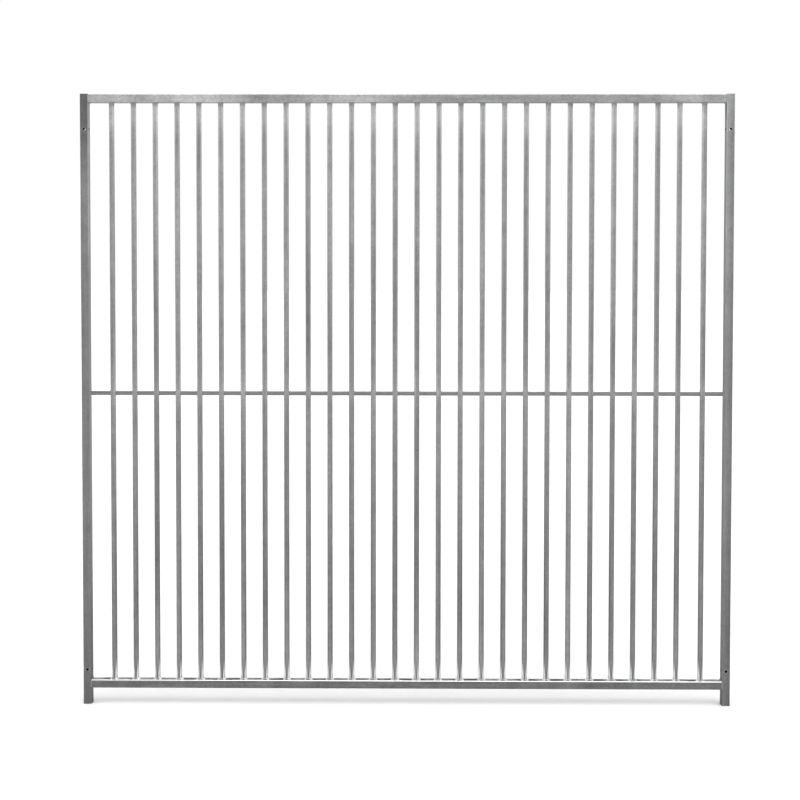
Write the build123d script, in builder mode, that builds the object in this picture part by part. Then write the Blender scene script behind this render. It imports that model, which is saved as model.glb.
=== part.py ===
from build123d import *
import os

# A pen panel: a welded frame of square box section, filled with upright round tubes that a
# rod runs through at mid-height. It has no moving parts.
# The origin is on the floor at the middle of the panel. +X runs along the panel, to the
# right as seen from the front, the front faces -Y, and +Z is up. Millimetres.

# Frame
panel_width = 1955.0  # over the two uprights
panel_height = 1840.0  # floor to the tops of the uprights
box_size = 25.0  # square box section of uprights and rails
box_wall = 2.0
box_corner = 3.0  # outer corner radius of the box section
top_rail_drop = 1.0  # the top rail's face lies this far below the uprights' tops
foot_height = 49.0  # floor to the underside of the bottom rail

# Bolt holes through each upright, front to back and side to side
bolt_hole_diameter = 9.0
bolt_hole_inset = 105.0  # from the upright's top and from its foot

# Bars
bar_count = 28
bar_diameter = 16.0
bar_wall = 1.5
first_bar_inset = 68.0  # left upright's inner face to the first bar's axis
bar_pitch = 65.4
last_bar_pitch = 73.6  # the last bar stands a little further off

# Rod through the bars
rod_diameter = 12.0
rod_axis_height = 943.0
rod_hole_diameter = 12.3

# Weld metal
fillet_leg = 4.0
top_weld_leg = 2.5
top_weld_height = 3.0
foot_weld_radius = 12.0  # the welds round the bars' feet run out onto the rail's edges
foot_weld_height = 5.0
rod_weld_radius = 7.2
rod_weld_reach = 10.0  # from the bar's axis to the end of the weld on the rod
rod_end_weld_leg = 2.5

# Worked out from the sizes above
half_box = box_size / 2
inner_width = panel_width - 2 * box_size
inner_face = inner_width / 2
upright_axis = panel_width / 2 - half_box
top_rail_axis = panel_height - top_rail_drop - half_box
bottom_rail_axis = foot_height + half_box
bar_top = top_rail_axis - half_box
bar_bottom = bottom_rail_axis + half_box
hole_heights = [bolt_hole_inset, panel_height - bolt_hole_inset]
bar_radius = bar_diameter / 2
rod_radius = rod_diameter / 2
first_bar = -inner_face + first_bar_inset
bar_positions = [first_bar + number * bar_pitch for number in range(bar_count - 1)]
bar_positions.append(bar_positions[-1] + last_bar_pitch)

os.makedirs("parts", exist_ok=True)


def box_section():
    """Draw the box section's wall in the sketch that is open."""
    bore_size = box_size - 2 * box_wall
    RectangleRounded(box_size, box_size, box_corner)
    RectangleRounded(bore_size, bore_size, box_corner - box_wall, mode=Mode.SUBTRACT)


def make_upright(side):
    """Make the upright on the left (side -1) or on the right (side 1)."""
    axis = side * upright_axis
    with BuildPart() as upright:
        with BuildSketch(Plane.XY):
            with Locations((axis, 0)):
                box_section()
        extrude(amount=panel_height)
        for height in hole_heights:
            front = Plane((axis, -half_box, height), x_dir=(1, 0, 0), z_dir=(0, -1, 0))
            flank = Plane((axis + half_box, 0, height), x_dir=(0, 1, 0), z_dir=(1, 0, 0))
            with Locations(front, flank):
                Hole(bolt_hole_diameter / 2)
    return upright


def make_rail(axis_height):
    """Make a rail that fits between the uprights with its axis at this height."""
    with BuildPart() as rail:
        with BuildSketch(Plane.YZ.offset(-inner_face)):
            with Locations((0, axis_height)):
                box_section()
        extrude(amount=inner_width)
    return rail


def at_every_bar(piece):
    """Repeat a piece made on the Z axis at every bar."""
    with BuildPart() as repeated:
        with Locations([(position, 0, 0) for position in bar_positions]):
            add(piece.part)
    return repeated


def export(name, label):
    """Label a finished piece and write it to its own file."""
    name.part.label = label
    export_step(name.part, f"parts/{label}.step")


# Uprights, which run the full height and stand on the floor
left_upright = make_upright(-1)
export(left_upright, "left_upright")
right_upright = make_upright(1)
export(right_upright, "right_upright")

# Rails, cut square and butted between the uprights
top_rail = make_rail(top_rail_axis)
export(top_rail, "top_rail")
bottom_rail = make_rail(bottom_rail_axis)
export(bottom_rail, "bottom_rail")

# The rod at mid-height, one length from upright to upright through every bar
with BuildPart() as mid_rod:
    with BuildSketch(Plane.YZ.offset(-inner_face)):
        with Locations((0, rod_axis_height)):
            Circle(rod_radius)
    extrude(amount=inner_width)
export(mid_rod, "mid_rod")

# One bar on the Z axis: a tube, cut square at both ends and drilled for the rod
with BuildPart() as bar_outside:
    with BuildSketch(Plane.XY.offset(bar_bottom)):
        Circle(bar_radius)
    extrude(amount=bar_top - bar_bottom)
with BuildPart() as bar_pattern:
    add(bar_outside.part)
    with BuildSketch(Plane.XY.offset(bar_bottom)):
        Circle(bar_radius - bar_wall)
    extrude(amount=bar_top - bar_bottom, mode=Mode.SUBTRACT)
    with BuildSketch(Plane.YZ):
        with Locations((0, rod_axis_height)):
            Circle(rod_hole_diameter / 2)
    extrude(amount=bar_diameter, both=True, mode=Mode.SUBTRACT)

# The bars, left to right
for number, position in enumerate(bar_positions, start=1):
    with BuildPart() as bar:
        with Locations((position, 0, 0)):
            add(bar_pattern.part)
    export(bar, f"bar_{number:02d}")

# Fillet welds round the bars' upper ends, on the underside of the top rail
with BuildPart() as top_weld:
    with BuildSketch(Plane.XZ):
        with BuildLine():
            Polyline(
                (bar_radius, bar_top),
                (bar_radius + top_weld_leg, bar_top),
                (bar_radius, bar_top - top_weld_height),
                close=True,
            )
        make_face()
    revolve(axis=Axis.Z)
bar_top_welds = at_every_bar(top_weld)
export(bar_top_welds, "bar_top_welds")

# Fillet welds round the bars' lower ends, which also fill the rail's rounded edges below them
with BuildPart() as foot_weld:
    with BuildSketch(Plane.XZ):
        with BuildLine():
            Polyline(
                (bar_radius, bar_bottom - box_wall),
                (foot_weld_radius, bar_bottom - box_wall),
                (foot_weld_radius, bar_bottom),
                (bar_radius, bar_bottom + foot_weld_height),
                close=True,
            )
        make_face()
    revolve(axis=Axis.Z)
    add(bottom_rail.part, mode=Mode.SUBTRACT)
bar_foot_welds = at_every_bar(foot_weld)
export(bar_foot_welds, "bar_foot_welds")

# Collars of weld metal on the rod, on both sides of each bar and against the uprights
with BuildPart() as crossing_weld:
    with BuildSketch(Plane.XZ):
        with BuildLine():
            Polyline(
                (-rod_weld_reach, rod_axis_height + rod_radius),
                (-bar_radius, rod_axis_height + rod_weld_radius),
                (bar_radius, rod_axis_height + rod_weld_radius),
                (rod_weld_reach, rod_axis_height + rod_radius),
                close=True,
            )
        make_face()
    revolve(axis=Axis((0, 0, rod_axis_height), (1, 0, 0)))
    add(bar_outside.part, mode=Mode.SUBTRACT)
with BuildPart() as rod_welds:
    with Locations([(position, 0, 0) for position in bar_positions]):
        add(crossing_weld.part)
    for side in (-1, 1):
        with BuildSketch(Plane.XZ):
            with BuildLine():
                Polyline(
                    (side * inner_face, rod_axis_height + rod_radius),
                    (side * inner_face, rod_axis_height + rod_radius + rod_end_weld_leg),
                    (side * (inner_face - rod_end_weld_leg), rod_axis_height + rod_radius),
                    close=True,
                )
            make_face()
        revolve(axis=Axis((0, 0, rod_axis_height), (1, 0, 0)))
export(rod_welds, "rod_welds")

# Frame welds: seams that fill the grooves where a rail meets an upright's rounded corners,
# and fillets in the corners between the rails and the uprights' inner faces
flat_half = half_box - box_corner
with BuildPart() as frame_welds:
    for side in (-1, 1):
        groove = side * (inner_face + box_corner / 2)
        corner_axis = side * (inner_face + box_corner)
        for rail_axis in (top_rail_axis, bottom_rail_axis):
            with BuildSketch(Plane.XY.offset(rail_axis - flat_half)):
                with Locations((groove, -half_box + box_corner / 2), (groove, half_box - box_corner / 2)):
                    Rectangle(box_corner, box_corner)
                with Locations((corner_axis, -flat_half), (corner_axis, flat_half)):
                    Circle(box_corner, mode=Mode.SUBTRACT)
            extrude(amount=2 * flat_half)
        for height, rise in ((bar_top, -1), (bar_bottom, 1), (foot_height, -1)):
            with BuildSketch(Plane.XZ):
                with BuildLine():
                    Polyline(
                        (side * inner_face, height),
                        (side * (inner_face - fillet_leg), height),
                        (side * inner_face, height + rise * fillet_leg),
                        close=True,
                    )
                make_face()
            extrude(amount=flat_half, both=True)
export(frame_welds, "frame_welds")
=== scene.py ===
# A pen panel of galvanised steel. The frame members, the bars and the rod are the CAD nodes,
# with galvanised finishes. The weld metal is modelled here, bead by bead. Metres.

import math
import random

import bmesh
import bpy
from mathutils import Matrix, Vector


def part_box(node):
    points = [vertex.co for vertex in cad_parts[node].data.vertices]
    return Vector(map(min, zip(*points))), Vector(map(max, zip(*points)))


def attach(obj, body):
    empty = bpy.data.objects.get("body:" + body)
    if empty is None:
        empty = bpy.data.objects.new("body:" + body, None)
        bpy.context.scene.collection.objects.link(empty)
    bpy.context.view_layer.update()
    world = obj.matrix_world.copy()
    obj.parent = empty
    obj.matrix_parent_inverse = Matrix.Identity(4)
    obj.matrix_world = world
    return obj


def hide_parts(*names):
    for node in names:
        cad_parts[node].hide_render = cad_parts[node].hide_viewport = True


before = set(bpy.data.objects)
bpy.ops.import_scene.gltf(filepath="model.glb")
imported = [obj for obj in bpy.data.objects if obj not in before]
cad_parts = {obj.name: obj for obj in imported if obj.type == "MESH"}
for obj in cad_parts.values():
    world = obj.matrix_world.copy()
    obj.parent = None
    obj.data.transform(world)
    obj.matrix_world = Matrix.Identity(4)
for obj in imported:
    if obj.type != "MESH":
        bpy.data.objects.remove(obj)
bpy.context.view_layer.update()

# Camera, in metres, degrees and millimetres of lens and sensor
CAMERA_PLACE = (0.008, -3.700, 1.275)
CAMERA_YAW = 0.43
CAMERA_PITCH = -1.71
CAMERA_ROLL = -0.06
CAMERA_LENS = 55.4
CAMERA_SENSOR = 36.0
CAMERA_SHIFT_Y = -0.10

# Sizes read from the frame
BARS = sorted(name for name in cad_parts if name.startswith("bar_") and name[4:].isdigit())
BAR_LOW, BAR_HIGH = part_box("bar_01")
BAR_RADIUS = (BAR_HIGH.x - BAR_LOW.x) / 2
BAR_AXES = [(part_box(name)[0].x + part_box(name)[1].x) / 2 for name in BARS]
FOOT_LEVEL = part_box("bottom_rail")[1].z
RAIL_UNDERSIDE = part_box("bottom_rail")[0].z
HEAD_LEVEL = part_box("top_rail")[0].z
TOP_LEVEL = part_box("top_rail")[1].z
PANEL_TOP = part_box("left_upright")[1].z
ROD_LOW, ROD_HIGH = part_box("mid_rod")
ROD_RADIUS = (ROD_HIGH.z - ROD_LOW.z) / 2
ROD_LEVEL = (ROD_HIGH.z + ROD_LOW.z) / 2
INNER_FACE = ROD_HIGH.x
HALF_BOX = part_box("top_rail")[1].y
BOX_CORNER = 0.003  # outer corner radius of the box section
FLAT_HALF = HALF_BOX - BOX_CORNER
UPRIGHT_AXES = (-INNER_FACE - HALF_BOX, INNER_FACE + HALF_BOX)
BOLT_INSET = 0.105  # from the upright's foot and from its top
BOLT_HEIGHTS = (BOLT_INSET, PANEL_TOP - BOLT_INSET)
BOLT_RADIUS = 0.0045
RIM_OFFSET = 0.0006  # from a hole's edge to the middle of the thick zinc round it
RIM_INNER = 0.0003  # where that zinc starts to fade
RIM_OUTER = 0.0018  # and where it ends
HOLE_DEPTHS = (0.0001, 0.0004)  # the painted shade in a hole starts and is full this far under the face
HOLE_MARGINS = (0.0007, 0.0002)  # and this far outside the hole's edge

# Weld beads
BEAD_SEED = 7
FOOT_REACH = 0.0108  # from the bar's axis to the bead's toe
FOOT_RISE = 0.005
FOOT_LOBE_ANGLE = math.radians(62)
FOOT_LOBE_SPREAD = math.radians(34)
FOOT_LOBES = (0.0016, 0.0046)  # the least and the most that a lobe runs out along the rail
HEAD_REACH = 0.0099
HEAD_RISE = 0.0024
HEAD_LOBES = (0.0, 0.0)  # none
RIPPLE = 0.00022  # height of the ripples on every bead
BEAD_STEPS = 72
BEAD_RIPPLES = 24
BEAD_PROFILE = 6  # steps over a bead, from toe to toe
BEAD_WANDER = 0.0004  # how far a bead's toe strays from a circle
BEAD_STOP = 0.0005  # how much prouder a bead is where it starts and stops
BEAD_STOP_SPREAD = 0.25  # radians
SINK = 0.0004  # how far a bead's hidden side lies inside the steel
SHARP_ANGLE = math.radians(50)  # edges above this stay sharp
COLLAR_RADIUS = 0.0072  # of a bead round the rod, at its wide end
COLLAR_RUN = 0.0021  # how far it runs out along the rod
COLLAR_STEPS = 56
COLLAR_RIPPLES = 16
COLLAR_WANDER = 0.0003
END_LEG = 0.0025  # of the beads where the rod meets the uprights
FILLET_LEG = 0.0032
FILLET_STEPS = 40
FILLET_RIPPLES = 8
SEAM_STEPS = 48
SEAM_RIPPLES = 9
SEAM_PROFILE = 5
SEAM_WIDTH = 0.0028
SEAM_ROOT = 0.0028  # how deep a seam goes into its groove
SEAM_BURIED = ((0.0030, 0.0010), (0.0005, SEAM_ROOT), (-SINK / 2, SEAM_ROOT))  # its hidden corners
SEAM_DISH = (0.00008, 0.00030)  # its least hollow, and how much the ripples add

# Stage and light
FLOOR_SIZE = 400.0
FLOOR_TONE = 0.95
FLOOR_TONE_SPREAD = 0.015
WALL_TOP = 0.20  # sine of the elevation up to which the walls are at full strength
CEILING_START = 0.50
WALL_LIGHT = 1.02
CEILING_LIGHT = 0.74
SOFTBOX_WAY = (0.10, -0.33, 0.94)
SOFTBOX_LIGHT = 2.9
SOFTBOX_EDGE = 0.84  # cosine of the angle from the softbox's middle to its edge
SOFTBOX_CORE = 0.97  # and to where it is at full strength

# Tones of the zinc, as (metres along the member, grey) stops. Their rise and fall along the members
# is partly painted light and shade, from reflections of the studio.
LEFT_TONES = [
    (0.0, 0.142), (0.15, 0.142), (0.30, 0.168), (0.46, 0.184), (0.76, 0.190), (1.07, 0.197),
    (1.37, 0.21), (1.52, 0.229), (1.60, 0.225), (1.72, 0.15), (1.84, 0.14),
]
# painted light on the left upright's inner side, which faces the light
LEFT_INNER_SIDE_LIGHT = [
    (0.0, 0.10), (0.25, 0.10), (0.60, 0.20), (1.20, 0.24), (1.50, 0.33), (1.84, 0.30),
]
RIGHT_TONES = [
    (0.0, 0.155), (0.12, 0.155), (0.30, 0.168), (0.46, 0.192), (0.76, 0.222), (0.91, 0.212),
    (1.07, 0.228), (1.30, 0.262), (1.52, 0.277), (1.67, 0.295), (1.76, 0.32), (1.84, 0.36),
]
# painted shade on the right upright's inner side, darkest at its top corner
RIGHT_INNER_SIDE_SHADE = [
    (0.0, 0.08), (0.20, 0.14), (0.60, 0.15), (1.20, 0.20), (1.76, 0.24), (1.80, 0.09), (1.84, 0.09),
]
TOP_RAIL_TONES = [
    (-0.96, 0.42), (-0.70, 0.44), (-0.60, 0.52), (-0.47, 0.33), (-0.33, 0.34), (-0.20, 0.47),
    (-0.08, 0.45), (0.05, 0.34), (0.30, 0.315), (0.75, 0.34), (0.86, 0.42), (0.96, 0.39),
]
# partly painted light and shade: brighter near the top rail and by the rod, darker below them
BAR_TONES = [
    (0.074, 0.205), (0.15, 0.225), (0.3, 0.196), (0.46, 0.194), (0.62, 0.212), (0.9, 0.238),
    (0.95, 0.285), (1.02, 0.24), (1.12, 0.232), (1.22, 0.243), (1.5, 0.305), (1.6, 0.3),
    (1.7, 0.285), (1.765, 0.41), (1.814, 0.38),
]
# painted highlight (sheen) on the bars' flanks, by height
BAR_FLANK_SHEEN = [
    (0.0, 0.0), (0.4, 0.01), (0.77, 0.06), (0.92, 0.07), (0.96, 0.16), (1.02, 0.11),
    (1.814, 0.12),
]
FRONT_TONE = 0.157  # the bottom rail's front
PATCH_TONES = (0.10, 0.42)  # the darkest and lightest patches on its top face
ROD_TONE = 0.208
LEFT_SLANT = (1.0, 1.0)  # factors on the tone of an upright's left edge and right edge
RIGHT_SLANT = (1.06, 0.78)
EDGE_HIGHLIGHT_TONE = 0.70  # painted highlight on the bottom rail's upper edge
RIM_TONE = 0.13  # thick zinc round the bolt holes
BAR_FOOT_REFLECTION_TONE = 0.60  # painted reflection on the bars' flanks at the foot
# painted highlight on the bars' flanks near the top
BAR_HEAD_HIGHLIGHT_TONE = 0.10
FOOT_WELD_TONES = (0.86, 0.22)  # where a weld is bright, and where it is dull
JOINT_WELD_TONES = (0.34, 0.24)
CORNER_WELD_TONES = (0.30, 0.22)
WELD_SPECULAR_TINT = 0.95

# Zinc patterns: features in a metre (along and across the member, or all ways alike)
RUN_SCALE = (4.0, 90.0)
THREAD_SCALE = (25.0, 500.0)
CLOUD_SCALE = 17.0
SPECKLE_SCALE = 420.0
SPANGLE_SCALE = 170.0
LUMP_SCALE = 260.0
WELD_SPECKLE_SCALE = 700.0
BAR_TO_BAR_SCALE = (38.0, 0.0, 1.3)  # along x, y and z: a new tone at each bar
FLANK_TO_FLANK_SCALE = (45.0, 0.0, 1.8)
FLANK_TO_FLANK_SHIFT = (0.0, 0.0, 3.1)
PATCH_SCALE = (22.0, 60.0, 60.0)
PATCH_SHIFT = (0.13, 0.0, 0.0)

# Zinc patterns: how far each one moves the tone, as a share of it
RUN_SPREAD = 0.22
THREAD_SPREAD = 0.08
CLOUD_SPREAD = 0.20
SPECKLE_SPREAD = 0.16
SPANGLE_SPREAD = 0.07
LUMP_SPREAD = 0.18
WELD_SPECKLE_SPREAD = 0.08
PLAIN_CONTRAST = 1.0
BAR_CONTRAST = 1.3  # the patterns are more marked on the bars than on the uprights
RAIL_CONTRAST = 1.6  # and more still on the rails
BAR_TO_BAR_SPREAD = 0.42
FLANK_TO_FLANK_SPREAD = 0.60

# Where the painted highlights, reflections and shade change along a member, in metres
EDGE_HIGHLIGHT_HEIGHTS = (1.20, 1.65)  # the painted highlights on the uprights' edges grow stronger between these
FOOT_TAPER = 0.060  # height of the dark tapered core that the painted reflection on the flanks leaves at a bar's foot
FOOT_REFLECTION = (0.070, 0.012)  # above the rail: the painted reflection on the bars' flanks starts and is full
HEAD_HIGHLIGHT = (0.300, 0.060)  # below the top rail: the painted highlight on the bars' flanks starts and is full
HEAD_HIGHLIGHT_END = (0.004, 0.022)  # it is gone here, and full again here
FOOT_SHADE = 0.045  # a bar is a little darker this close to the bottom rail
HEAD_SHADE = 0.016  # and to the top rail

# Depths of the bump, in metres
BOX_BUMP = 0.00012
ROUND_BUMP = 0.00010
WELD_BUMP = 0.00025


def node(tree, kind, inputs=None, **settings):
    """Add a shader node, set its properties, and fill its inputs with values or links."""
    made = tree.nodes.new(kind)
    for key, value in settings.items():
        setattr(made, key, value)
    for key, value in (inputs or {}).items():
        socket = made.inputs[key]
        if isinstance(value, bpy.types.NodeSocket):
            tree.links.new(value, socket)
        else:
            socket.default_value = value
    return made


def fill_ramp(ramp, stops):
    """Give a colour ramp these (position, grey) stops."""
    marks = ramp.elements
    while len(marks) < len(stops):
        marks.new(0.5)
    for mark, (position, grey) in zip(marks, stops):
        mark.position = position
        mark.color = (grey, grey, grey, 1)


class Paint:
    """One node material. Each method adds nodes and returns a value's socket."""

    def __init__(self, name):
        self.material = bpy.data.materials.new(name)
        self.material.use_nodes = True
        self.tree = self.material.node_tree
        self.tree.nodes.clear()
        coordinates = node(self.tree, "ShaderNodeTexCoord")
        self.place = coordinates.outputs["Object"]
        self.x, self.y, self.z = self.split(self.place)
        self.nx, self.ny, self.nz = self.split(coordinates.outputs["Normal"])

    def split(self, vector):
        """A vector's three parts."""
        return node(self.tree, "ShaderNodeSeparateXYZ", {"Vector": vector}).outputs

    def math(self, operation, first, second=0.0):
        """One arithmetic step on one or two values."""
        return node(self.tree, "ShaderNodeMath", {0: first, 1: second},
                    operation=operation).outputs[0]

    def times(self, *values):
        """The product of the values."""
        total = values[0]
        for value in values[1:]:
            total = self.math("MULTIPLY", total, value)
        return total

    def plus(self, *values):
        """The sum of the values."""
        total = values[0]
        for value in values[1:]:
            total = self.math("ADD", total, value)
        return total

    def size(self, value):
        """The value without its sign."""
        return self.math("ABSOLUTE", value)

    def rest(self, value):
        """What is left of 1 when the value is taken from it."""
        return self.math("SUBTRACT", 1.0, value)

    def fade(self, value, start, end, low=0.0, high=1.0):
        """Go smoothly from low at start to high at end."""
        ends = {"Value": value, "From Min": start, "From Max": end, "To Min": low, "To Max": high}
        return node(self.tree, "ShaderNodeMapRange", ends,
                    interpolation_type="SMOOTHSTEP").outputs[0]

    def graph(self, value, stops):
        """Look a value up in (value, grey) stops."""
        first, last = stops[0][0], stops[-1][0]
        share = node(self.tree, "ShaderNodeMapRange",
                     {"Value": value, "From Min": first, "From Max": last}).outputs[0]
        ramp = node(self.tree, "ShaderNodeValToRGB", {"Fac": share})
        fill_ramp(ramp.color_ramp, [((at - first) / (last - first), grey) for at, grey in stops])
        return ramp.outputs["Color"]

    def stretched(self, scale, shift=(0.0, 0.0, 0.0)):
        """The place scaled apart along x, y and z, for patterns with a direction."""
        moved = node(self.tree, "ShaderNodeVectorMath", {0: self.place, 1: shift}, operation="ADD")
        return node(self.tree, "ShaderNodeVectorMath", {0: moved.outputs[0], 1: scale},
                    operation="MULTIPLY").outputs[0]

    def noise(self, vector, scale, detail):
        """A 0 to 1 noise pattern."""
        return node(self.tree, "ShaderNodeTexNoise",
                    {"Vector": vector, "Scale": scale, "Detail": detail}).outputs["Fac"]

    def spread(self, value, amount):
        """Turn a 0 to 1 pattern into a factor around 1."""
        return self.plus(self.times(value, 2 * amount), 1 - amount)

    def finish(self, tone, roughness, height, depth, specular_tint=0.7):
        """Close the material with a metal shader. depth is the bump's depth in metres."""
        tint = node(self.tree, "ShaderNodeCombineColor", {
            "Red": self.times(tone, 0.995),
            "Green": tone,
            "Blue": self.times(tone, 1.008),
        })
        bump = node(self.tree, "ShaderNodeBump",
                    {"Height": height, "Distance": depth, "Strength": 1.0})
        shader = node(self.tree, "ShaderNodeBsdfPrincipled", {
            "Base Color": tint.outputs["Color"],
            "Metallic": 1.0,
            "Roughness": roughness,
            "Normal": bump.outputs["Normal"],
            "Specular Tint": (specular_tint, specular_tint, specular_tint, 1),
        })
        out = node(self.tree, "ShaderNodeOutputMaterial")
        self.tree.links.new(shader.outputs[0], out.inputs[0])
        return self.material


def directed(scale, along):
    """An (along, across) scale as x, y and z, for a member that runs along x or z."""
    lengthwise, crosswise = scale
    if along == "x":
        return lengthwise, crosswise, crosswise
    return crosswise, crosswise, lengthwise


def zinc_patterns(paint, along, contrast):
    """The tone factor, roughness and bump height of a zinc coat that ran along x or z."""
    runs = paint.noise(paint.stretched(directed(RUN_SCALE, along)), 1.0, 3.0)
    threads = paint.noise(paint.stretched(directed(THREAD_SCALE, along)), 1.0, 2.0)
    clouds = paint.noise(paint.place, CLOUD_SCALE, 3.0)
    speckle = paint.noise(paint.place, SPECKLE_SCALE, 1.0)
    crystal = node(paint.tree, "ShaderNodeTexVoronoi",
                   {"Vector": paint.place, "Scale": SPANGLE_SCALE})
    spangle = paint.split(crystal.outputs["Color"])[0]
    tone = paint.times(
        paint.spread(runs, RUN_SPREAD * contrast),
        paint.spread(threads, THREAD_SPREAD * contrast),
        paint.spread(clouds, CLOUD_SPREAD * contrast),
        paint.spread(speckle, SPECKLE_SPREAD * contrast),
        paint.spread(spangle, SPANGLE_SPREAD * contrast),
    )
    roughness = paint.plus(0.20, paint.times(clouds, 0.12), paint.times(spangle, 0.06),
                           paint.times(threads, 0.08))
    height = paint.plus(paint.times(threads, 0.45), paint.times(speckle, 0.40),
                        paint.times(spangle, 0.15))
    return tone, roughness, height


def edge_highlight_mask(paint):
    """1 on the rounded edges of a box section, where a highlight is painted, and 0 on its flats and
    its underside.
    """
    pairs = ((paint.nx, paint.ny), (paint.ny, paint.nz))
    products = [paint.size(paint.times(*pair)) for pair in pairs]
    strongest = paint.math("MAXIMUM", *products)
    return paint.times(paint.fade(strongest, 0.18, 0.45), paint.fade(paint.nz, -0.3, 0.0))


def bolt_zinc_and_hole_shade(paint, axis_x):
    """1 on the thick zinc round an upright's bolt holes, and, as a second mask, 1 in the holes and
    behind them, where shade is painted.
    """
    across = paint.size(paint.plus(paint.x, -axis_x))
    through = paint.size(paint.y)
    on_face = paint.math("MINIMUM", across, through)
    depth = paint.math("MAXIMUM", across, through)
    under_face = paint.fade(depth, HALF_BOX - HOLE_DEPTHS[0], HALF_BOX - HOLE_DEPTHS[1])
    in_line = paint.fade(on_face, BOLT_RADIUS + HOLE_MARGINS[0], BOLT_RADIUS + HOLE_MARGINS[1])
    inside = paint.times(under_face, in_line)
    rims = 0.0
    for height in BOLT_HEIGHTS:
        up = paint.plus(paint.z, -height)
        span = paint.math("SQRT", paint.plus(paint.times(on_face, on_face), paint.times(up, up)))
        away = paint.size(paint.plus(span, -BOLT_RADIUS - RIM_OFFSET))
        rims = paint.plus(rims, paint.fade(away, RIM_OUTER, RIM_INNER))
    return paint.times(rims, paint.rest(inside)), inside


def upright_zinc(name, axis_x, heights, inner_side_light_and_shade, inward_way, slant):
    """An upright's zinc: one set of (height, tone) stops for it, and one for its inner side, which
    carries painted light and shade.

    inward_way is 1 where the inner side faces +x and -1 where it faces -x.
    """
    paint = Paint(name)
    pattern, roughness, bump = zinc_patterns(paint, "z", PLAIN_CONTRAST)
    front = paint.graph(paint.z, heights)
    # painted light and shade on the upright's inner side
    inner = paint.graph(paint.z, inner_side_light_and_shade)
    inward = paint.fade(paint.times(paint.nx, inward_way), 0.55, 0.85)
    across = paint.plus(paint.x, -axis_x)
    slanted = paint.fade(across, -HALF_BOX, HALF_BOX, slant[0], slant[1])
    front = paint.times(front, slanted)
    body = paint.plus(paint.times(front, paint.rest(inward)), paint.times(inner, inward))
    # painted highlight on the upright's rounded edges, stronger higher up
    edge_highlight = paint.times(edge_highlight_mask(paint), paint.fade(paint.z, *EDGE_HIGHLIGHT_HEIGHTS, 0.25, 0.80))
    cut_end = paint.fade(paint.nz, 0.80, 0.95, 1.0, 0.45)
    rims, inside = bolt_zinc_and_hole_shade(paint, axis_x)
    rims = paint.times(rims, RIM_TONE)
    # painted shade in the bolt holes and behind them
    hole_shade = paint.fade(inside, 0.0, 1.0, 1.0, 0.15)
    tone = paint.plus(paint.times(body, pattern, paint.plus(edge_highlight, 1.0), cut_end, hole_shade), rims)
    bump = paint.plus(bump, paint.times(rims, 3.0))
    return paint.finish(tone, roughness, bump, BOX_BUMP)


def top_rail_zinc():
    """The top rail's zinc, lighter and darker in turn along its length, with painted shade
    underneath.
    """
    paint = Paint("top_rail_zinc")
    pattern, roughness, bump = zinc_patterns(paint, "x", RAIL_CONTRAST)
    along = paint.graph(paint.x, TOP_RAIL_TONES)
    # painted shade on the rail's underside
    under = paint.fade(paint.nz, -0.05, -0.8, 1.0, 0.68)
    tone = paint.times(along, pattern, under)
    return paint.finish(tone, roughness, bump, BOX_BUMP)


def bottom_rail_zinc():
    """The bottom rail's zinc: a dull front, a patchy top face, a painted highlight on its upper
    edge and painted shade underneath.
    """
    paint = Paint("bottom_rail_zinc")
    pattern, roughness, bump = zinc_patterns(paint, "x", RAIL_CONTRAST)
    upward = paint.fade(paint.nz, 0.80, 0.98)
    patches = paint.noise(paint.stretched(PATCH_SCALE, PATCH_SHIFT), 1.0, 2.0)
    patchy = paint.fade(patches, 0.40, 0.56, *PATCH_TONES)
    edge = paint.times(edge_highlight_mask(paint), paint.fade(paint.nz, 0.05, 0.30))
    # painted highlight on the bottom rail's upper edge
    painted_ridge_highlight = paint.times(edge, EDGE_HIGHLIGHT_TONE)
    body = paint.plus(paint.times(paint.rest(upward), FRONT_TONE), paint.times(patchy, upward))
    # painted shade on the rail's underside
    under = paint.fade(paint.nz, -0.05, -0.8, 1.0, 0.75)
    tone = paint.plus(paint.times(body, pattern, under), painted_ridge_highlight)
    return paint.finish(tone, roughness, bump, BOX_BUMP)


def bar_foot(paint, flank, above_foot):
    """1 where a reflection is painted on the bars' flanks near the foot, which leaves a tapered
    dark core.
    """
    start = paint.fade(above_foot, 0.0, FOOT_TAPER, 0.24, 0.52)
    past = paint.math("SUBTRACT", flank, start)
    return paint.times(paint.fade(past, 0.0, 0.25), paint.fade(above_foot, *FOOT_REFLECTION),
                       paint.fade(flank, 0.99, 0.93, 0.35, 1.0))


def head_flank_highlight(paint, flank, each, below_head):
    """1 where a highlight is painted on the bars' flanks near the top, more on one side than the
    other.
    """
    lean = paint.plus(flank, paint.times(paint.nx, paint.plus(paint.times(each, 0.6), -0.35)))
    return paint.times(paint.fade(lean, 0.30, 0.62), paint.fade(below_head, *HEAD_HIGHLIGHT),
                       paint.fade(below_head, *HEAD_HIGHLIGHT_END))


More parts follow.
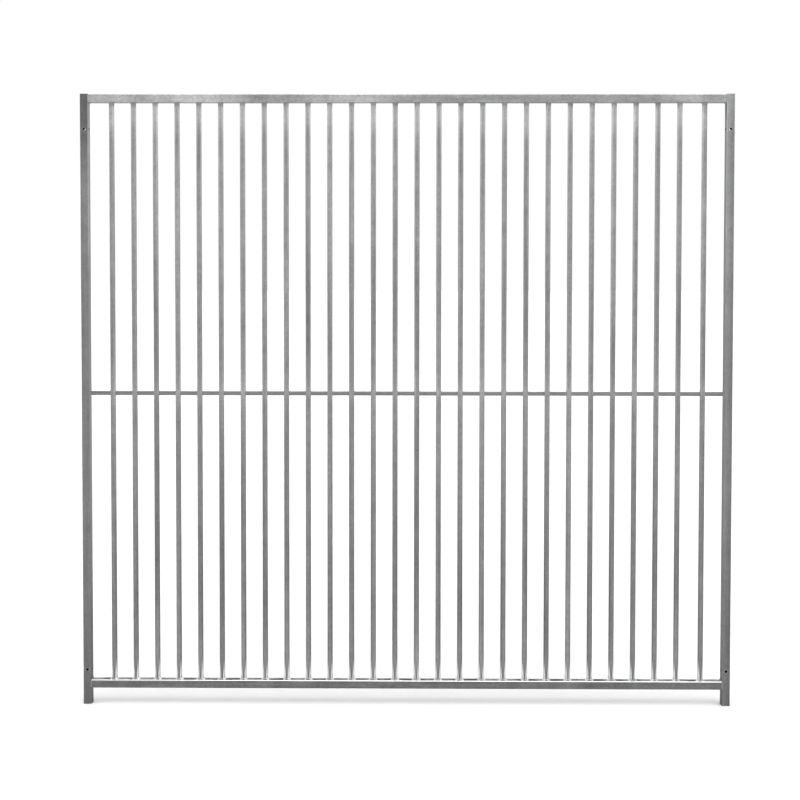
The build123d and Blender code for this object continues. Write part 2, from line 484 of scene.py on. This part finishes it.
def bar_zinc():
    """The bars' zinc, with painted reflections and highlights on the flanks near the bars' ends, a
    painted sheen on the flanks, and painted shade close to the rails.
    """
    paint = Paint("bar_zinc")
    pattern, roughness, bump = zinc_patterns(paint, "z", BAR_CONTRAST)
    core = paint.graph(paint.z, BAR_TONES)
    each = paint.noise(paint.stretched(BAR_TO_BAR_SCALE), 1.0, 1.0)
    other = paint.noise(paint.stretched(FLANK_TO_FLANK_SCALE, FLANK_TO_FLANK_SHIFT), 1.0, 1.0)
    flank = paint.size(paint.nx)
    below_head = paint.math("SUBTRACT", HEAD_LEVEL, paint.z)
    above_foot = paint.plus(paint.z, -FOOT_LEVEL)
    # painted reflection on the bars' flanks at the foot
    foot = bar_foot(paint, flank, above_foot)
    # painted highlight on the bars' flanks near the top
    head = head_flank_highlight(paint, flank, each, below_head)
    near_head = paint.fade(below_head, 0.0, HEAD_SHADE, 0.62, 1.0)
    near_foot = paint.fade(above_foot, 0.0, FOOT_SHADE, 0.80, 1.0)
    shade = paint.times(near_head, near_foot)
    # painted highlight along the bars' flanks
    flank_sheen_highlight = paint.times(paint.fade(flank, 0.30, 0.85), paint.graph(paint.z, BAR_FLANK_SHEEN),
                        paint.spread(other, FLANK_TO_FLANK_SPREAD))
    tone = paint.plus(paint.times(core, pattern, paint.spread(each, BAR_TO_BAR_SPREAD), shade),
                      flank_sheen_highlight, paint.times(foot, BAR_FOOT_REFLECTION_TONE), paint.times(head, BAR_HEAD_HIGHLIGHT_TONE))
    return paint.finish(tone, roughness, bump, ROUND_BUMP)


def rod_zinc():
    """The rod's zinc, with painted shade: a little darker underneath and darker still on top."""
    paint = Paint("rod_zinc")
    pattern, roughness, bump = zinc_patterns(paint, "x", PLAIN_CONTRAST)
    # painted shade under the rod and on its top
    rod_underside_shade = paint.fade(paint.nz, -0.9, 0.0, 0.90, 1.0)
    rod_top_shade = paint.fade(paint.nz, 0.15, 0.60, 1.0, 0.62)
    tone = paint.times(pattern, rod_underside_shade, rod_top_shade, ROD_TONE)
    return paint.finish(tone, roughness, bump, ROUND_BUMP)


def weld_zinc(name, tones, facing):
    """Weld metal under fresh zinc, bright and lumpy.

    facing is how far it goes from bright to dull where it faces the front.
    """
    bright, dull = tones
    paint = Paint(name)
    lumps = paint.noise(paint.place, LUMP_SCALE, 3.0)
    speckle = paint.noise(paint.place, WELD_SPECKLE_SCALE, 1.0)
    sideways = paint.fade(paint.size(paint.nx), 0.12, 0.45)
    ahead = paint.times(paint.fade(paint.ny, -0.2, -0.5), facing)
    cover = paint.rest(paint.times(ahead, paint.rest(sideways)))
    tone = paint.plus(dull, paint.times(cover, bright - dull))
    tone = paint.times(tone, paint.spread(lumps, LUMP_SPREAD),
                       paint.spread(speckle, WELD_SPECKLE_SPREAD))
    roughness = paint.plus(0.30, paint.times(lumps, 0.22))
    height = paint.plus(paint.times(lumps, 0.6), paint.times(speckle, 0.4))
    return paint.finish(tone, roughness, height, WELD_BUMP, WELD_SPECULAR_TINT)


def paint_node(name, material):
    """Put the material in every slot of a CAD node."""
    for slot in bpy.data.objects[name].material_slots:
        slot.material = material


def loops_mesh(loops, ends_meet):
    """Points and faces of a skin over equal loops, a ring where its ends meet, else capped."""
    count = len(loops[0])
    points = [point for loop in loops for point in loop]
    faces = []
    for row in range(len(loops) if ends_meet else len(loops) - 1):
        this_row = row * count
        next_row = (row + 1) % len(loops) * count
        for step in range(count):
            after = (step + 1) % count
            corners = (this_row + step, this_row + after, next_row + after, next_row + step)
            faces.append(corners)
    if not ends_meet:
        faces.append(tuple(range(count)))
        faces.append(tuple(range(len(points) - count, len(points))))
    return points, faces


def make_piece(name, parts, material, replaced):
    """Join (points, faces) parts into one shaded piece that stands for a CAD node."""
    shape = bmesh.new()
    for points, faces in parts:
        corners = [shape.verts.new(point) for point in points]
        for face in faces:
            shape.faces.new([corners[index] for index in face])
    bmesh.ops.recalc_face_normals(shape, faces=shape.faces)
    for face in shape.faces:
        face.smooth = True
    mesh = bpy.data.meshes.new(name)
    shape.to_mesh(mesh)
    shape.free()
    mesh.set_sharp_from_angle(angle=SHARP_ANGLE)
    mesh.materials.append(material)
    piece = bpy.data.objects.new(name, mesh)
    bpy.context.collection.objects.link(piece)
    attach(piece, "root")
    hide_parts(replaced)
    return piece


def bead_profile():
    """Shares (out, up, middle) over a slightly full fillet, from its upper toe to its outer."""
    for step in range(BEAD_PROFILE + 1):
        share = step / BEAD_PROFILE
        out = 0.5 * (share + math.sin(share * math.pi / 2))
        up = 0.5 * (1 - share + math.cos(share * math.pi / 2))
        yield out, up, math.sin(share * math.pi)


def rail_drop(depth):
    """How far the rail's rounded edge lies under its flat at this distance from its middle."""
    past = min(max(abs(depth) - FLAT_HALF, 0.0), BOX_CORNER * 0.995)
    return BOX_CORNER - math.sqrt(BOX_CORNER ** 2 - past ** 2)


def turn_between(angle, centre):
    """The turn from centre to angle, at most half a turn either way."""
    return (angle - centre + math.pi) % math.tau - math.pi


def bar_bead(axis_x, level, up, reach, rise, lobes, chance):
    """A bead round a bar where it meets a rail's face. up is 1 on the rail and -1 under it.

    reach and rise are the bead's radius and height. It runs out further in two lobes.
    """
    turn = chance.uniform(0, math.tau)
    sides = [chance.uniform(*lobes) for lobe in range(2)]
    start = chance.uniform(0, math.tau)
    loops = []
    for step in range(BEAD_STEPS):
        angle = math.tau * step / BEAD_STEPS
        front = math.cos(angle)
        side = math.sin(angle)
        lobe = 0.0
        for size, centre in zip(sides, (FOOT_LOBE_ANGLE, -FOOT_LOBE_ANGLE)):
            off = turn_between(angle, centre)
            lobe += size * math.exp(-((off / FOOT_LOBE_SPREAD) ** 2))
        gap = turn_between(angle, start)
        stop = BEAD_STOP * math.exp(-((gap / BEAD_STOP_SPREAD) ** 2))
        wide = reach + lobe + BEAD_WANDER * math.sin(3 * angle + turn) + stop
        tall = rise * (1 + 0.12 * math.sin(2 * angle + 2 * turn)) + stop
        ripple = RIPPLE * math.sin(BEAD_RIPPLES * angle + 1.2 * math.sin(2 * angle))
        loop = []
        for out, high, middle in bead_profile():
            radius = BAR_RADIUS - SINK + (wide - BAR_RADIUS + SINK) * out + ripple * middle
            depth = -radius * front
            drop = rail_drop(depth) if abs(depth) > FLAT_HALF else 0.0
            lift = tall * high + ripple * middle * 0.6 - drop
            loop.append((axis_x + radius * side, depth, level + up * lift))
        inside = BAR_RADIUS - 2 * SINK
        toe = wide - SINK
        under = rail_drop(toe * front) + 2 * SINK
        loop.append((axis_x + toe * side, -toe * front, level - up * under))
        loop.append((axis_x + inside * side, -inside * front, level - up * 2 * SINK))
        loops.append(loop)
    return loops_mesh(loops, True)


def collar(base, top_radius, contact, run, chance):
    """A bead round the rod, as (x, radius, angle) loops.

    base gives x where the bead meets the bar or upright, and contact where that meets the rod.
    """
    turn = chance.uniform(0, math.tau)
    loops = []
    for step in range(COLLAR_STEPS):
        angle = math.tau * step / COLLAR_STEPS
        wide = top_radius + COLLAR_WANDER * math.sin(2 * angle + turn)
        ripple = RIPPLE * math.sin(COLLAR_RIPPLES * angle + turn)
        low_x = base(angle, wide)
        high_x = contact(angle) + run * (1 + 0.10 * math.sin(3 * angle + turn))
        loop = []
        for out, high, middle in bead_profile():
            radius = ROD_RADIUS - SINK + (wide - ROD_RADIUS + SINK) * high + ripple * middle
            loop.append((low_x + (high_x - low_x) * out, radius, angle))
        loop.append((high_x - SINK, ROD_RADIUS - 2 * SINK, angle))
        loop.append((low_x - SINK, ROD_RADIUS - 2 * SINK, angle))
        loops.append(loop)
    return loops


def on_upright(angle, radius):
    """Where a collar's wide toe lies against an upright's flat face."""
    return -SINK


def on_bar(angle, radius):
    """Where a collar's wide toe lies against the bar, measured from the bar's axis."""
    return math.sqrt(BAR_RADIUS ** 2 - (radius * math.sin(angle)) ** 2) - SINK


def rod_on_bar(angle):
    """Where the rod's surface meets the bar, measured from the bar's axis."""
    return math.sqrt(BAR_RADIUS ** 2 - (ROD_RADIUS * math.sin(angle)) ** 2)


def place_collar(loops, origin_x, way):
    """Stand a collar on the rod at origin_x, running out along x in this way (1 or -1)."""
    placed = []
    for loop in loops:
        ring = []
        for x, radius, angle in loop:
            depth = -radius * math.sin(angle)
            level = ROD_LEVEL + radius * math.cos(angle)
            ring.append((origin_x + way * x, depth, level))
        placed.append(ring)
    return loops_mesh(placed, True)


def rod_beads(chance):
    """Two collars at each bar and one at each upright."""
    parts = []
    for axis_x in BAR_AXES:
        for way in (-1, 1):
            loops = collar(on_bar, COLLAR_RADIUS, rod_on_bar, COLLAR_RUN - SINK, chance)
            parts.append(place_collar(loops, axis_x, way))
    for way in (-1, 1):
        loops = collar(on_upright, ROD_RADIUS + END_LEG, lambda angle: 0.0, END_LEG, chance)
        parts.append(place_collar(loops, -way * INNER_FACE, way))
    return parts


def corner_fillet(side, level, rise, chance):
    """A rippled fillet between an upright's inner face and a rail's face, from front to back."""
    turn = chance.uniform(0, math.tau)
    loops = []
    for step in range(FILLET_STEPS + 1):
        share = step / FILLET_STEPS
        depth = -FLAT_HALF + 2 * FLAT_HALF * share
        leg = FILLET_LEG * (0.90 + 0.06 * math.sin(5 * share + turn))
        ripple = RIPPLE * math.sin(FILLET_RIPPLES * math.tau * share + turn)
        loop = []
        for out, high, middle in bead_profile():
            x = side * (INNER_FACE - leg * out - ripple * middle)
            loop.append((x, depth, level + rise * (leg * high + ripple * middle)))
        loop.append((side * (INNER_FACE - leg * 0.9), depth, level - rise * SINK))
        loop.append((side * (INNER_FACE + SINK), depth, level - rise * SINK))
        loop.append((side * (INNER_FACE + SINK), depth, level + rise * leg * 0.9))
        loops.append(loop)
    return loops_mesh(loops, False)


def groove_seam(side, face, middle_level, chance):
    """A seam in the groove between a rail's end and an upright's rounded corner."""
    turn = chance.uniform(0, math.tau)
    loops = []
    for step in range(SEAM_STEPS + 1):
        share = step / SEAM_STEPS
        level = middle_level + FLAT_HALF * (2 * share - 1)
        ripple = 0.5 + 0.5 * math.sin(SEAM_RIPPLES * math.tau * share + turn)
        dish = SEAM_DISH[0] + SEAM_DISH[1] * ripple
        loop = []
        for part in range(SEAM_PROFILE + 1):
            across = part / SEAM_PROFILE
            x = side * (INNER_FACE - SINK / 2 + SEAM_WIDTH * across)
            depth = HALF_BOX - dish * (0.4 + 0.6 * math.sin(across * math.pi))
            loop.append((x, face * depth, level))
        for past, down in SEAM_BURIED:
            loop.append((side * (INNER_FACE + past), face * (HALF_BOX - down), level))
        loops.append(loop)
    return loops_mesh(loops, False)


def frame_beads(chance):
    """The seams and corner fillets where the rails meet the uprights."""
    parts = []
    rail_middles = ((TOP_LEVEL + HEAD_LEVEL) / 2, (FOOT_LEVEL + RAIL_UNDERSIDE) / 2)
    for side in (-1, 1):
        for face in (-1, 1):
            for middle_level in rail_middles:
                parts.append(groove_seam(side, face, middle_level, chance))
        for level, rise in ((HEAD_LEVEL, -1), (FOOT_LEVEL, 1), (RAIL_UNDERSIDE, -1)):
            parts.append(corner_fillet(side, level, rise, chance))
    return parts


def make_welds():
    """Replace the CAD's plain weld solids with rippled beads."""
    chance = random.Random(BEAD_SEED)
    feet = []
    for axis in BAR_AXES:
        feet.append(bar_bead(axis, FOOT_LEVEL, 1, FOOT_REACH, FOOT_RISE, FOOT_LOBES, chance))
    heads = []
    for axis in BAR_AXES:
        heads.append(bar_bead(axis, HEAD_LEVEL, -1, HEAD_REACH, HEAD_RISE, HEAD_LOBES, chance))
    foot_zinc = weld_zinc("foot_weld_zinc", FOOT_WELD_TONES, 1.0)
    joint_zinc = weld_zinc("joint_weld_zinc", JOINT_WELD_TONES, 0.0)
    corner_zinc = weld_zinc("corner_weld_zinc", CORNER_WELD_TONES, 0.0)
    make_piece("foot_beads", feet, foot_zinc, "bar_foot_welds")
    make_piece("head_beads", heads, joint_zinc, "bar_top_welds")
    make_piece("rod_beads", rod_beads(chance), joint_zinc, "rod_welds")
    make_piece("frame_beads", frame_beads(chance), corner_zinc, "frame_welds")


def make_camera():
    """The camera that took the photo, as nearly as one that also serves the other views can."""
    data = bpy.data.cameras.new("photo_camera")
    data.lens = CAMERA_LENS
    data.sensor_width = CAMERA_SENSOR
    data.shift_y = CAMERA_SHIFT_Y
    camera = bpy.data.objects.new("photo_camera", data)
    camera.location = CAMERA_PLACE
    camera.rotation_euler = (
        math.radians(90 + CAMERA_PITCH),
        math.radians(CAMERA_ROLL),
        math.radians(CAMERA_YAW),
    )
    bpy.context.collection.objects.link(camera)
    bpy.context.scene.camera = camera


def make_world():
    """A white studio: pale walls all round, a softer ceiling, and one wide softbox overhead."""
    world = bpy.data.worlds.new("studio")
    bpy.context.scene.world = world
    world.use_nodes = True
    tree = world.node_tree
    tree.nodes.clear()
    way = node(tree, "ShaderNodeTexCoord").outputs["Generated"]
    height = node(tree, "ShaderNodeSeparateXYZ", {"Vector": way}).outputs["Z"]
    ramp = node(tree, "ShaderNodeValToRGB", {"Fac": height})
    stops = [(WALL_TOP, WALL_LIGHT), (CEILING_START, CEILING_LIGHT), (1.0, CEILING_LIGHT)]
    fill_ramp(ramp.color_ramp, stops)
    toward = node(tree, "ShaderNodeVectorMath", {0: way, 1: SOFTBOX_WAY}, operation="DOT_PRODUCT")
    softbox = node(tree, "ShaderNodeMapRange", {
        "Value": toward.outputs["Value"],
        "From Min": SOFTBOX_EDGE,
        "From Max": SOFTBOX_CORE,
        "To Max": SOFTBOX_LIGHT,
    }, interpolation_type="SMOOTHSTEP")
    light = node(tree, "ShaderNodeMath", {0: ramp.outputs["Color"], 1: softbox.outputs[0]},
                 operation="ADD")
    shader = node(tree, "ShaderNodeBackground", {"Color": light.outputs[0], "Strength": 1.0})
    out = node(tree, "ShaderNodeOutputWorld")
    tree.links.new(shader.outputs[0], out.inputs[0])


def make_floor():
    """A plain pale floor that runs out to the walls."""
    half = FLOOR_SIZE / 2
    corners = [(-half, -half, 0), (half, -half, 0), (half, half, 0), (-half, half, 0)]
    mesh = bpy.data.meshes.new("floor")
    mesh.from_pydata(corners, [], [(0, 1, 2, 3)])
    floor = bpy.data.objects.new("floor", mesh)
    bpy.context.collection.objects.link(floor)
    material = bpy.data.materials.new("floor_paint")
    material.use_nodes = True
    tree = material.node_tree
    tree.nodes.clear()
    where = node(tree, "ShaderNodeTexCoord").outputs["Object"]
    cloud = node(tree, "ShaderNodeTexNoise", {"Vector": where, "Scale": 2.0, "Detail": 4.0})
    ramp = node(tree, "ShaderNodeValToRGB", {"Fac": cloud.outputs["Fac"]})
    darkest = FLOOR_TONE - FLOOR_TONE_SPREAD
    lightest = FLOOR_TONE + FLOOR_TONE_SPREAD
    fill_ramp(ramp.color_ramp, [(0.0, darkest), (1.0, lightest)])
    shader = node(tree, "ShaderNodeBsdfPrincipled", {
        "Base Color": ramp.outputs["Color"],
        "Roughness": 0.9,
        "Specular IOR Level": 0.1,
    })
    out = node(tree, "ShaderNodeOutputMaterial")
    tree.links.new(shader.outputs[0], out.inputs[0])
    mesh.materials.append(material)


make_camera()
make_world()
make_floor()
make_welds()

left_axis, right_axis = UPRIGHT_AXES
left_finish = upright_zinc("left_upright_zinc", left_axis, LEFT_TONES, LEFT_INNER_SIDE_LIGHT, 1,
                           LEFT_SLANT)
right_finish = upright_zinc("right_upright_zinc", right_axis, RIGHT_TONES, RIGHT_INNER_SIDE_SHADE, -1,
                            RIGHT_SLANT)
paint_node("left_upright", left_finish)
paint_node("right_upright", right_finish)
paint_node("top_rail", top_rail_zinc())
paint_node("bottom_rail", bottom_rail_zinc())
paint_node("mid_rod", rod_zinc())
bar_finish = bar_zinc()
for bar in BARS:
    paint_node(bar, bar_finish)

bpy.context.scene.view_settings.view_transform = "Standard"
